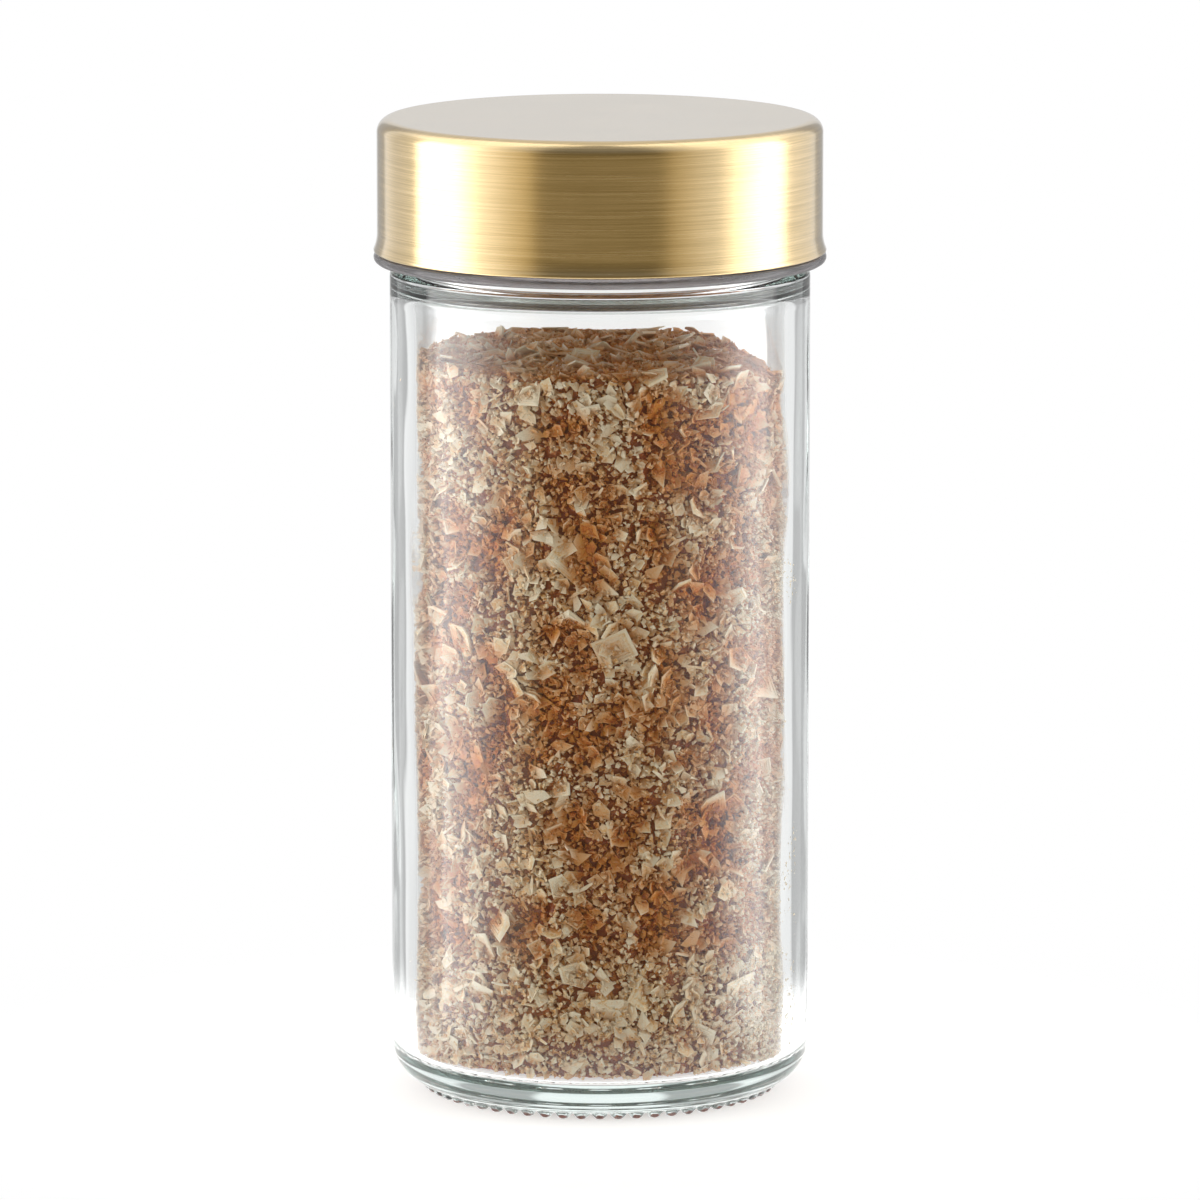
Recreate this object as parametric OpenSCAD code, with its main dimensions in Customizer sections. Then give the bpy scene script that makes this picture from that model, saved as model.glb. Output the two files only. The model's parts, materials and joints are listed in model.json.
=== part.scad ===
// Clear glass spice jar with a screw lid, filled with coarse salt flakes.
// Lengths are millimetres. The Z axis is the jar's own axis and Z = 0 is the table.
// The lid is drawn screwed down: turning it anticlockwise, seen from above, raises it
// by one thread pitch a turn.

/* [Glass body] */
// Outer diameter of the straight wall
body_d = 47.2; // [46:0.1:49]
// Thickness of the straight wall
wall = 2.8; // [2.2:0.1:3.2]
// Height of the shoulder above the table
shoulder_z = 93.1; // [70:0.1:120]
// Outer rounding where the wall turns into the shoulder
shoulder_round = 0.5; // [0.3:0.1:2]
// Depth from the shoulder down to where the inside meets the neck's bore
shoulder_t = 0.7; // [0.5:0.1:2.5]
// Height over which the inside narrows from the wall to the neck's bore
narrowing_h = 3; // [1.6:0.1:6]
// Thickness of the glass from the foot to the inside floor
floor_t = 6; // [4:0.1:8]
// Rounding of the inside floor's corner
floor_round = 3; // [1:0.1:5]

/* [Foot] */
// Radius of the heel's curve
heel_r = 4.4; // [3:0.1:6]
// Height of the glass above the table, between the grip beads
foot_lift = 0.6; // [0.3:0.05:0.8]
// Width of the flat ring that carries the foot's grip beads
foot_w = 2.2; // [1.8:0.1:3]
// Depth of the hollow under the base
punt_depth = 2.2; // [1:0.1:3]
// Number of grip beads round the foot
bead_n = 60; // [40:1:66]
// Radius of one grip bead
bead_r = 0.9; // [0.7:0.05:0.95]
// How far outside the heel's lowest circle the grip beads stand
bead_offset = 0.4; // [0:0.1:0.6]
// How much of each bead's tip is worn flat where it stands
bead_flat = 0.1; // [0.05:0.05:0.2]

/* [Neck and thread] */
// Width of the shoulder, from the outside of the wall to the neck
shoulder_w = 2.3; // [1.8:0.1:4]
// Thickness of the neck's wall
neck_wall = 2.1; // [1.6:0.1:2.4]
// Rounding of the sealing rim
rim_round = 0.9; // [0.3:0.1:1]
// Fillet where the neck leaves the shoulder
neck_fillet = 0.2; // [0.1:0.05:1]
// How far the thread stands out of its wall
thread_depth = 1.2; // [0.8:0.05:1.4]
// Rise of the thread in one turn
thread_pitch = 4; // [3.6:0.05:5]
// Length of each thread, in turns
thread_turns = 1.3; // [1:0.05:2]
// Width of a thread at its foot
thread_root_w = 2; // [1.6:0.05:2.2]
// Width of a thread at its crest
thread_crest_w = 1; // [0.6:0.05:1.2]
// Distance from the sealing rim down to the middle of the neck's last turn
thread_drop = 2.2; // [2:0.1:3]
// Height of the transfer bead's middle above the shoulder
transfer_h = 3; // [2.2:0.1:4]
// Height of the transfer bead from its lower to its upper face
transfer_w = 1.2; // [0.8:0.1:1.4]
// How far the transfer bead stands out of the neck
transfer_out = 1; // [0.7:0.1:1.2]
// Gap between the transfer bead and the lowest turn of the lid's thread
transfer_gap = 0.95; // [0.4:0.05:2]

/* [Lid] */
// Thickness of the screw insert's skirt
insert_wall = 1.52; // [1:0.02:2.5]
// How far the drive ribs stand out of the insert's skirt
rib_depth = 0.2; // [0.1:0.05:0.4]
// Height of the drive ribs that the cover is pressed over
rib_h = 9; // [5:0.5:10]
// Number of drive ribs
rib_n = 36; // [12:1:48]
// Thickness of the metal cover
metal_t = 0.45; // [0.3:0.05:0.6]
// Rounding of the cover's top edge
cover_round = 1.6; // [1:0.1:2.2]
// Height over which the cover's lower edge flares outwards
flare_h = 1.9; // [1:0.1:3]
// How far the cover's lower edge flares outwards
flare_out = 0.4; // [0.1:0.05:0.6]
// Thickness of the screw insert's top
insert_top_t = 1.2; // [0.8:0.1:2]
// Thickness of the screw insert's lower flange
flange_t = 1.2; // [1:0.1:1.6]
// How far the lower flange stands out beyond the cover's skirt
flange_out = 0.4; // [0.2:0.05:0.6]
// Thickness of the sealing liner
liner_t = 1; // [0.6:0.1:1.5]
// How far the bead that holds the liner stands in from the insert's bore
keeper_out = 0.8; // [0.6:0.05:0.9]

/* [Contents] */
// Free height from the middle of the salt's surface up to the sealing rim
headspace = 23.6; // [23:0.1:50]
// Slope of the salt's surface, down to the right, in degrees
fill_slope = 0.5; // [0:0.5:6]
// Width of the strip along the right side where the salt's surface slumps
slump_w = 6; // [2:0.5:12]
// How far the surface drops across that strip
slump_h = 2.8; // [0:0.1:4]
// Distance between the large flakes that stand out of the heap
flake_pitch = 5.9; // [4:0.1:9]
// Depth of the hollows between the large flakes
flake_depth = 1; // [0.2:0.1:1.4]

/* [Clearances] */
// Radial gap between the crest of each thread and the wall that it faces
thread_clear = 0.3; // [0.2:0.05:0.4]
// Gap between the thread flanks that bear on each other
flank_clear = 0.25; // [0.15:0.05:0.4]
// Gap between the shoulder and the lid's flange
shoulder_gap = 1; // [0.5:0.1:1.2]
// Radial gap between the liner's edge and the insert's bore
liner_clear = 0.4; // [0.2:0.05:0.5]
// Gap between the liner and the insert's top
liner_play = 0.05; // [0.02:0.01:0.2]
// Gap between the cover and the insert that it is pressed over
cover_clear = 0.03; // [0.02:0.01:0.1]
// Gap between the salt and the glass round it
salt_clear = 0.05; // [0.02:0.01:0.2]

/* [Hidden] */
$fn = 128;

// glass radii and heights
body_r = body_d / 2;
cavity_r = body_r - wall;
neck_r = body_r - shoulder_w;
mouth_r = neck_r - neck_wall;
cavity_top_z = shoulder_z - shoulder_t;
heel_x = body_r - heel_r;
bead_circle_r = heel_x + bead_offset;
punt_r = heel_x - foot_w;

// the hollow under the base is part of a large ball that meets the foot at punt_r
punt_ball_r = (punt_r * punt_r + punt_depth * punt_depth) / (2 * punt_depth);

// threads: the lid's ridge starts above the transfer bead, and the neck's ridge lies one
// flank above it, clear of it
thread_steps = 48;
fade_steps = 8;
weld = 0.3;
fade_depth = 0.05;
bore_r = neck_r + thread_depth + thread_clear;
flank_run = bore_r - neck_r + 2 * weld;
flank_slope = (thread_root_w - thread_crest_w) / 2 / (thread_depth + weld);
flank_sum = thread_root_w - flank_slope * flank_run;
transfer_top_z = shoulder_z + transfer_h + transfer_w / 2;
lid_thread_z = transfer_top_z + transfer_gap + thread_root_w / 2;
thread_start_z = lid_thread_z + flank_sum + flank_clear;
thread_top_z = thread_start_z + thread_pitch * thread_turns;
rim_z = thread_top_z + thread_drop;

// heap of flakes: the least share of the full depth that a hollow has, and the number that
// starts its row of chances
shallowest = 0.4;
flake_seed = 5;

// lid heights, from the flange up
flange_z = shoulder_z + shoulder_gap;
cover_z = flange_z + flange_t;
ceiling_z = rim_z + liner_t + liner_play;
insert_top_z = ceiling_z + insert_top_t;
cover_top_z = insert_top_z + cover_clear + metal_t;

// lid radii, from the bore outwards
core_r = bore_r + insert_wall;
insert_r = core_r + rib_depth;
cover_r = insert_r + cover_clear + metal_t;
flange_r = cover_r + flange_out;
rib_w = 1;
liner_r = bore_r - liner_clear;
keeper_h = 0.7;
lead_in = 0.5;

// What a rounding of radius r leaves over of the sharp corner at x, z. It is taken away
// from a profile. out and up are 1 or -1 and say which way the corner points.
module corner_waste(x, z, r, out = 1, up = 1) {
    extra = 0.01;
    translate([x - out * r, z - up * r])
        difference() {
            translate([out > 0 ? 0 : -r - extra, up > 0 ? 0 : -r - extra])
                square(r + extra);
            circle(r);
        }
}

// A ridge that climbs round the Z axis. Its foot is welded into the wall at wall_r, its crest
// is at tip_r, outside or inside that wall, and its depth fades out at both ends.
module thread_ridge(wall_r, tip_r, start_z) {
    outwards = tip_r > wall_r;
    side = outwards ? 1 : -1;
    foot_r = wall_r - side * weld;
    faded_r = wall_r - side * fade_depth;
    n = ceil(thread_turns * thread_steps);

    function turn_at(i) = 360 * thread_turns * i / n;
    function climb_at(i) = start_z + thread_pitch * thread_turns * i / n;
    function tip_at(i) = faded_r + (tip_r - faded_r) * min(1, i / fade_steps, (n - i) / fade_steps);
    function on_ridge(i, r, dz) = [r * cos(turn_at(i)), r * sin(turn_at(i)), climb_at(i) + dz];

    points = [for (i = [0 : n])
        each [
            on_ridge(i, foot_r, -thread_root_w / 2),
            on_ridge(i, tip_at(i), -thread_crest_w / 2),
            on_ridge(i, tip_at(i), thread_crest_w / 2),
            on_ridge(i, foot_r, thread_root_w / 2)
        ]];
    sides = [for (i = [0 : n - 1], j = [0 : 3])
        let (a = 4 * i + j, b = 4 * i + (j + 1) % 4)
            each [[a, b, b + 4], [a, b + 4, a + 4]]];
    last = 4 * n;
    ends = [[0, 3, 2], [0, 2, 1],
            [last, last + 1, last + 2], [last, last + 2, last + 3]];
    faces = concat(sides, ends);
    turned = [for (f = faces) [f[2], f[1], f[0]]];
    polyhedron(points, outwards ? faces : turned, convexity = 4);
}

// Outline of the glass from its axis outwards, as if it were solid
module glass_outline() {
    difference() {
        union() {
            translate([0, foot_lift]) square([body_r, shoulder_z - foot_lift]);
            translate([0, foot_lift]) square([neck_r, rim_z - foot_lift]);
            // fillet at the root of the neck
            translate([neck_r, shoulder_z])
                difference() {
                    square(neck_fillet);
                    translate([neck_fillet, neck_fillet]) circle(neck_fillet);
                }
            // transfer bead under the thread
            translate([neck_r, shoulder_z + transfer_h])
                intersection() {
                    circle(transfer_out);
                    translate([0, -transfer_w / 2]) square([transfer_out, transfer_w]);
                }
        }
        corner_waste(body_r, shoulder_z, shoulder_round);
        corner_waste(body_r, foot_lift, heel_r, up = -1);
        corner_waste(neck_r, rim_z, rim_round);
    }
}

// Outline of the space inside the glass below the mouth
module cavity_outline() {
    step_r = max(cavity_r - mouth_r, 0.1);
    difference() {
        translate([0, floor_t]) square([cavity_r, cavity_top_z - floor_t]);
        corner_waste(cavity_r, floor_t, floor_round, up = -1);
        // the glass round the shoulder stays about as thick as the wall
        translate([0, cavity_top_z])
            scale([1, narrowing_h / step_r])
                corner_waste(cavity_r, 0, step_r);
    }
}

module grip_beads() {
    for (i = [0 : bead_n - 1])
        rotate(360 * i / bead_n)
            translate([bead_circle_r, 0, bead_r - bead_flat])
                sphere(bead_r, $fn = 32);
}

module jar_glass() {
    color([0.82, 0.92, 0.9, 0.4])
        difference() {
            union() {
                rotate_extrude() glass_outline();
                thread_ridge(neck_r, neck_r + thread_depth, thread_start_z);
                grip_beads();
            }
            rotate_extrude() cavity_outline();
            // mouth, up through the neck
            translate([0, 0, cavity_top_z - 1])
                cylinder(r = mouth_r, h = rim_z - cavity_top_z + 2);
            // hollow under the base
            translate([0, 0, foot_lift + punt_depth - punt_ball_r])
                sphere(punt_ball_r);
            // the table, which flattens the tips of the beads
            translate([-body_r, -body_r, -bead_r])
                cube([body_d, body_d, bead_r]);
        }
}

// The heap of flakes. Its skin is a net of triangles in rings, from the middle of the floor,
// round the floor's corner, up the wall and over the top. A knot of the net on the wall lies
// against the glass or is sunk between two flakes, by chance.
module salt_fill() {
    wall_r = cavity_r - salt_clear;
    low_z = floor_t + salt_clear;
    corner_r = floor_round - salt_clear;
    surface_z = rim_z - headspace;

    // two knots of the net for each flake, so that one can stand out and the next be sunk
    columns = 2 * round(2 * PI * wall_r / flake_pitch);
    floor_rings = 3;
    wall_start = floor_rings + 3;
    wall_end = wall_start + round(2 * (surface_z - low_z) / flake_pitch);
    ring_n = wall_end + round(2 * wall_r / flake_pitch);
    chances = rands(-1, 1, columns * (ring_n + 1), flake_seed);

    function corner_turn(i) = 90 * max(0, (i - floor_rings) / (wall_start - floor_rings));
    function sunk(chance) = chance < 0 ? 0 : flake_depth * (shallowest + (1 - shallowest) * chance);
    function radius_at(i, j) =
        i <= floor_rings ? (wall_r - corner_r) * i / floor_rings
        : i <= wall_start ? wall_r - corner_r * (1 - sin(corner_turn(i)))
        : i < wall_end ? wall_r - sunk(chances[i * columns + j])
        : wall_r * (ring_n + 1 - i) / (ring_n + 1 - wall_end);
    function waves(x, y) =
        sin(360 * (x + y / 2) / flake_pitch) + sin(300 * (y - x / 2) / flake_pitch);
    function slump(x) = slump_h * max(0, (x - wall_r) / slump_w + 1);
    function top_z(x, y) =
        surface_z - x * tan(fill_slope) - slump(x) + flake_depth / 4 * waves(x, y);
    function height_at(i, x, y) =
        let (corner_z = low_z + corner_r, share = (i - wall_start) / (wall_end - wall_start))
            i <= wall_start ? corner_z - corner_r * cos(corner_turn(i))
            : corner_z + (top_z(x, y) - corner_z) * min(1, share);
    function knot(i, j) =
        let (turn = 360 * (j + (i % 2) / 2) / columns)
            let (x = radius_at(i, j) * cos(turn), y = radius_at(i, j) * sin(turn))
                [x, y, height_at(i, x, y)];
    function number(i, j) = 1 + (i - 1) * columns + j % columns;

    rings = [for (i = [1 : ring_n], j = [0 : columns - 1]) knot(i, j)];
    points = concat([[0, 0, low_z]], rings, [[0, 0, top_z(0, 0)]]);
    last = len(points) - 1;
    skin = [for (i = [1 : ring_n - 1], j = [0 : columns - 1])
        let (a = number(i, j), b = number(i, j + 1))
            let (c = number(i + 1, j), d = number(i + 1, j + 1))
                each i % 2 == 0 ? [[a, c, b], [b, c, d]] : [[a, c, d], [a, d, b]]];
    floor_fan = [for (j = [0 : columns - 1]) [0, number(1, j), number(1, j + 1)]];
    top_fan = [for (j = [0 : columns - 1]) [number(ring_n, j), last, number(ring_n, j + 1)]];
    color([0.72, 0.55, 0.42])
        polyhedron(points, concat(floor_fan, skin, top_fan), convexity = 6);
}

module lid_liner() {
    color([0.95, 0.95, 0.93])
        translate([0, 0, rim_z])
            cylinder(r = liner_r, h = liner_t);
}

module insert_outline() {
    edge_r = flange_t / 2;
    inner_round = max(cover_round - metal_t - cover_clear, 0.2);
    difference() {
        union() {
            translate([0, flange_z]) square([flange_r - edge_r, flange_t]);
            translate([flange_r - edge_r, flange_z + edge_r]) circle(edge_r);
            translate([0, flange_z]) square([core_r, insert_top_z - flange_z]);
        }
        corner_waste(core_r, insert_top_z, inner_round);
        // bore, with a lead-in at its mouth
        translate([0, flange_z - 1]) square([bore_r, ceiling_z - flange_z + 1]);
        polygon([
            [0, flange_z - 1],
            [bore_r + lead_in + 1, flange_z - 1],
            [bore_r, flange_z + lead_in],
            [0, flange_z + lead_in]
        ]);
    }
}

// The bead that the liner snaps over, just under the liner
module keeper_outline() {
    polygon([
        [bore_r + weld, rim_z - keeper_h - weld],
        [bore_r, rim_z - keeper_h],
        [bore_r - keeper_out, rim_z - keeper_h / 2],
        [bore_r, rim_z - liner_play],
        [bore_r + weld, rim_z - liner_play]
    ]);
}

module drive_ribs() {
    for (i = [0 : rib_n - 1])
        rotate(360 * i / rib_n)
            translate([core_r - weld, -rib_w / 2, cover_z])
                cube([weld + rib_depth, rib_w, rib_h]);
}

module lid_insert() {
    color([0.62, 0.62, 0.64])
        union() {
            rotate_extrude() insert_outline();
            rotate_extrude() keeper_outline();
            thread_ridge(bore_r, bore_r - thread_depth, lid_thread_z);
            drive_ribs();
        }
}

// Outline of the cover as if it were solid, drawn in from its outside by inset
module cover_outline(inset = 0) {
    r = cover_r - inset;
    top_z = cover_top_z - inset;
    difference() {
        union() {
            translate([0, cover_z]) square([r, top_z - cover_z]);
            polygon([
                [0, cover_z],
                [r + flare_out, cover_z],
                [r, cover_z + flare_h],
                [0, cover_z + flare_h]
            ]);
        }
        corner_waste(r, top_z, max(cover_round - inset, 0.2));
    }
}

module lid_cover() {
    color([0.8, 0.68, 0.42])
        rotate_extrude()
            difference() {
                cover_outline();
                translate([0, -0.01]) cover_outline(metal_t);
            }
}

jar_glass();
salt_fill();
lid_liner();
lid_insert();
lid_cover();
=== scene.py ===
# %% [markdown]
# # A glass jar of salt flakes with a brushed metal screw lid
# The object is five things: a moulded glass body, the salt in it, and a lid that is made
# of a metal cover, a plastic screw insert and a soft sealing liner. The frame that is
# loaded first holds them as plain solids at their real size. Each cell below gives one of
# them its looks, and never moves or resizes it.

import json
import math
import random

import bmesh
import bpy
import numpy as np
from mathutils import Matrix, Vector

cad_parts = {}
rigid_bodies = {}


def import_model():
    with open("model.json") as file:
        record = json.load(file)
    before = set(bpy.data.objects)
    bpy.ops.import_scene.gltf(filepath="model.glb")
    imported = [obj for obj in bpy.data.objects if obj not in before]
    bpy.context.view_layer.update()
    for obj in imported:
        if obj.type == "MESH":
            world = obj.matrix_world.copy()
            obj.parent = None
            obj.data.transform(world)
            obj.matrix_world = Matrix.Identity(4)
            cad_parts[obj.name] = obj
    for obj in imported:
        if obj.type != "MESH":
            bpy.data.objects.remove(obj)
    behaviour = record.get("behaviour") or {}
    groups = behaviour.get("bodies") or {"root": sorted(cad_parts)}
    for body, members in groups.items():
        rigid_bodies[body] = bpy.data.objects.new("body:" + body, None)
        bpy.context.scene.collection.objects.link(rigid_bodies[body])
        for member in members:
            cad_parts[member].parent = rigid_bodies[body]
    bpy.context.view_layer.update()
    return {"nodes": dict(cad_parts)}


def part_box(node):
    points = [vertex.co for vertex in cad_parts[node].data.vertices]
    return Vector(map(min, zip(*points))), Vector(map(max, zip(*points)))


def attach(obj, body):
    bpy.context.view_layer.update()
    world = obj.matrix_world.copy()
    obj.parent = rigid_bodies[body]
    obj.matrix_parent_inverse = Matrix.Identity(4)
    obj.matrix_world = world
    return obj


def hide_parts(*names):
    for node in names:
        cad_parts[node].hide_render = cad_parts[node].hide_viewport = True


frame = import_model()

# %% [markdown]
# ## Sizes
# Everything is in metres, and MM turns a size in millimetres into metres. The main sizes
# are read from the frame's solids, so the looks follow the solids when they change. The
# few that no solid's box shows, such as a wall's thickness, are named here. The glass
# floor in the photograph is thinner than the frame's, so here the salt reaches lower by
# the length floor_drop.

# %% Main sizes, from the frame
MM = 0.001
glass_low, glass_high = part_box("jar_glass")
salt_low, salt_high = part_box("salt_fill")
liner_low, liner_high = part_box("lid_liner")
insert_low, insert_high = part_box("lid_insert")
cover_low, cover_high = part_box("lid_cover")

body_r = glass_high.x
rim_z = glass_high.z
wall = 2.8 * MM
cavity_r = body_r - wall
salt_gap = 0.05 * MM
floor_drop = 1.8 * MM
floor_z = salt_low.z - salt_gap - floor_drop
shoulder_gap = 1.0 * MM
shoulder_z = insert_low.z - shoulder_gap
shoulder_t = 0.7 * MM
narrowing_h = 3.0 * MM
cavity_top_z = shoulder_z - shoulder_t
neck_r = body_r - 2.3 * MM
mouth_r = neck_r - 2.1 * MM
print("glass", body_r, rim_z, "cavity", cavity_r, floor_z, cavity_top_z)

# %% [markdown]
# ## Node trees as plain sums
# A material and a Geometry Nodes tree are graphs of small nodes. Adding each Math node by
# hand hides the sum that it stands for, so a small class wraps an output socket and turns
# + - * / on it into Math nodes. Everything else goes through one method that takes the
# node's type, its settings and what its sockets get.

# %% Wrap a socket, so that arithmetic on it adds Math nodes
class Value:
    """An output socket of a node tree. Arithmetic on it adds Math nodes to that tree."""

    def __init__(self, graph, socket):
        self.graph = graph
        self.socket = socket

    def __add__(self, other):
        return self.graph.maths("ADD", self, other)

    def __sub__(self, other):
        return self.graph.maths("SUBTRACT", self, other)

    def __rsub__(self, other):
        return self.graph.maths("SUBTRACT", other, self)

    def __mul__(self, other):
        return self.graph.maths("MULTIPLY", self, other)

    def __truediv__(self, other):
        return self.graph.maths("DIVIDE", self, other)

    def __rtruediv__(self, other):
        return self.graph.maths("DIVIDE", other, self)

    def __pow__(self, power):
        return self.graph.maths("POWER", self, power)

    __radd__ = __add__
    __rmul__ = __mul__

    def clamped(self):
        return self.graph.maths("ADD", self, 0.0, clamp=True)


# %% One node tree, with one method for any node
class Graph:
    """Adds nodes to a material's, the world's or a Geometry Nodes tree."""

    def __init__(self, tree):
        self.tree = tree

    def node(self, kind, settings=None, inputs=None):
        """A node of that type. Its settings are set first, and then its sockets."""
        made = self.tree.nodes.new(kind)
        for name, value in (settings or {}).items():
            if name == "stops":
                self.set_stops(made.color_ramp, value)
            else:
                setattr(made, name, value)
        for name, value in (inputs or {}).items():
            self.feed(made.inputs[name], value)
        return Outputs(self, made)

    def feed(self, socket, value):
        if isinstance(value, Value):
            self.tree.links.new(value.socket, socket)
        else:
            socket.default_value = value

    def set_stops(self, ramp, stops):
        while len(ramp.elements) > 1:
            ramp.elements.remove(ramp.elements[-1])
        for i, (place, colour) in enumerate(stops):
            stop = ramp.elements[0] if i == 0 else ramp.elements.new(place)
            stop.position = place
            stop.color = (*colour, 1.0)

    def maths(self, operation, *values, clamp=False):
        settings = {"operation": operation, "use_clamp": clamp}
        return self.node("ShaderNodeMath", settings, dict(enumerate(values)))[0]

    def vector(self, operation, *values):
        settings = {"operation": operation}
        return self.node("ShaderNodeVectorMath", settings, dict(enumerate(values)))["Vector"]

    def scaled(self, vector, factor):
        inputs = {"Vector": vector, "Scale": factor}
        return self.node("ShaderNodeVectorMath", {"operation": "SCALE"}, inputs)["Vector"]

    def mix(self, first, second, factor, blend="MIX"):
        """A colour between two colours, through a Mix node."""
        settings = {"data_type": "RGBA", "blend_type": blend}
        return self.node("ShaderNodeMix", settings, {0: factor, 6: first, 7: second})[2]

    def split(self, vector):
        parts = self.node("ShaderNodeSeparateXYZ", None, {0: vector})
        return parts["X"], parts["Y"], parts["Z"]

    def join(self, x, y, z):
        return self.node("ShaderNodeCombineXYZ", None, {0: x, 1: y, 2: z})["Vector"]

    def ramp(self, factor, stops, interpolation="LINEAR"):
        made = self.node("ShaderNodeValToRGB", {"stops": stops}, {"Fac": factor})
        made.made.color_ramp.interpolation = interpolation
        return made["Color"]

    def noise(self, vector, scale, detail=2.0, roughness=0.5):
        inputs = {"Vector": vector, "Scale": scale, "Detail": detail, "Roughness": roughness}
        return self.node("ShaderNodeTexNoise", None, inputs)[0]

    def smooth(self, value, low, high):
        """0 below low, 1 above high, and a soft step between them."""
        settings = {"interpolation_type": "SMOOTHSTEP"}
        inputs = {"Value": value, "From Min": low, "From Max": high}
        return self.node("ShaderNodeMapRange", settings, inputs)["Result"]


class Outputs:
    """A node's outputs by name or number."""

    def __init__(self, graph, made):
        self.graph = graph
        self.made = made

    def __getitem__(self, name):
        return Value(self.graph, self.made.outputs[name])


# %% A material to fill with nodes
def new_material(name):
    material = bpy.data.materials.new(name)
    material.use_nodes = True
    material.node_tree.nodes.clear()
    return material, Graph(material.node_tree)


def finish_material(graph, surface, volume=None):
    inputs = {"Surface": surface}
    if volume:
        inputs["Volume"] = volume
    graph.node("ShaderNodeOutputMaterial", None, inputs)


# %% [markdown]
# ## The camera
# The photograph was taken with a long lens from a little above the jar: the top of the
# lid is a thin ellipse, and the sides hardly converge. A 265 mm lens a metre away gives
# the same outline as the photograph.

# %% Place the camera
camera_place = Vector((0.0, -0.985, 0.222))
camera_target = Vector((0.0, 0.0, 0.0555))
camera_data = bpy.data.cameras.new("photo_camera")
camera_data.lens = 265.4
camera_data.sensor_width = 36.0
camera = bpy.data.objects.new("photo_camera", camera_data)
camera.location = camera_place
camera.rotation_euler = (camera_target - camera_place).to_track_quat("-Z", "Y").to_euler()
bpy.context.scene.collection.objects.link(camera)
bpy.context.scene.camera = camera
print("camera looks down by", round(math.degrees(math.atan2(0.1665, 0.985)), 2), "degrees")

# %% [markdown]
# ## The studio
# Glass and brushed metal have hardly any colour of their own: they show the room. The
# bands on the lid say what stood round the jar: a dark space behind the camera, a large
# soft light on each side, and a narrow dark card at each back corner that draws the
# glass's edges. These could be built as lamps and boards. Here the world shader paints
# them by direction, because then they never stand in the way of another view. Light runs
# round inside a thick glass base by one reflection after another, and what is cut off too
# early turns black, so the limits on reflections are raised too.

# %% Light levels round the jar, by compass degrees from the camera
HOT = 3.5
DIM_ROOM = (1.0, 0.83, 0.475)
DIM_LEVEL = 0.262
studio_left = [
    (32, DIM_LEVEL),
    (36, 0.60),
    (48, 0.85),
    (65, 1.36),
    (80, 3.20),
    (106, HOT),
    (111, 0.80),
    (130, 0.72),
    (146, 1.00),
    (149, 0.42),
    (166, 0.42),
    (169, 0.72),
    (180, 0.72),
]
studio_right = [
    (32, DIM_LEVEL),
    (38, 0.50),
    (48, 0.66),
    (65, 0.84),
    (82, 2.40),
    (98, HOT),
    (108, 2.80),
    (114, 1.00),
    (134, 0.90),
    (146, 0.90),
    (149, 0.42),
    (166, 0.42),
    (169, 0.72),
    (180, 0.72),
]


def round_stops(left, right):
    """Ramp stops round the jar: 0 and 1 are behind it, and 0.5 is at the camera."""
    stops = [(0.5 - degrees / 360, (level / HOT,) * 3) for degrees, level in left]
    stops += [(0.5 + degrees / 360, (level / HOT,) * 3) for degrees, level in right]
    return sorted(stops)


# %% Light levels overhead
overhead_side = [(30, 0.44), (50, 0.70), (75, 1.55), (125, 1.70), (150, 0.72), (180, 0.72)]
FRONT_DROP = [(0.0, 1.0), (0.1, 0.60), (0.35, 0.58), (0.53, 0.42), (0.77, 0.56), (0.94, 0.9)]


# %% Paint the world
world = bpy.data.worlds.new("studio")
world.use_nodes = True
world.node_tree.nodes.clear()
sky = Graph(world.node_tree)
ray = sky.node("ShaderNodeTexCoord")["Generated"]
ray_x, ray_y, ray_z = sky.split(ray)
compass = sky.maths("ARCTAN2", ray_x, 0.0 - ray_y) / (2 * math.pi) + 0.5
cards = sky.ramp(compass, round_stops(studio_left, studio_right))
off_front = sky.maths("ABSOLUTE", compass - 0.5) * 360
cards = sky.mix(cards, (*DIM_ROOM, 1.0), 1.0 - sky.smooth(off_front, 30, 65), "MULTIPLY")
above = sky.ramp(compass, round_stops(overhead_side, overhead_side))
seen = sky.mix(cards, above, sky.smooth(ray_z, 0.35, 0.6))
path = sky.node("ShaderNodeLightPath")
shade_front = sky.ramp(ray_z, [(z, (share,) * 3) for z, share in FRONT_DROP])
seen = sky.mix(seen, shade_front, 1.0 - sky.smooth(off_front, 25, 45), "MULTIPLY")
below = (1.0 / HOT,) * 3 + (1.0,)
seen = sky.mix(seen, below, sky.smooth(0.0 - ray_z, 0.36, 0.66), "LIGHTEN")
behind = sky.smooth(off_front, 166, 169)
seen = sky.mix(seen, (1.0 / HOT,) * 3 + (1.0,), path["Is Transmission Ray"] * behind)
studio_light = sky.node("ShaderNodeBackground", None, {"Color": seen, "Strength": HOT})
white = sky.node("ShaderNodeBackground", None, {"Color": (1, 1, 1, 1), "Strength": 1.0})
both = {0: path["Is Camera Ray"], 1: studio_light[0], 2: white[0]}
chosen = sky.node("ShaderNodeMixShader", None, both)
sky.node("ShaderNodeOutputWorld", None, {"Surface": chosen[0]})
bpy.context.scene.world = world
bpy.context.scene.view_settings.view_transform = "Standard"
cycles = bpy.context.scene.cycles
cycles.max_bounces = 24
cycles.glossy_bounces = 16
cycles.transmission_bounces = 20
print("studio stops", len(round_stops(studio_left, studio_right)))

# %% [markdown]
# ## Turned shapes
# The glass, the liner, the insert and the cover are all round, so each is an outline that
# is turned about the jar's axis, as on a lathe. The outline is a list of points (radius,
# height) that starts and ends on the axis. Blender's Screw modifier can do the turning,
# but a few lines of code give clean poles and outward faces at once, and leave the rows
# exactly where a later step needs them.

# %% Points of an outline
GUARD = 0.12 * MM


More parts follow.
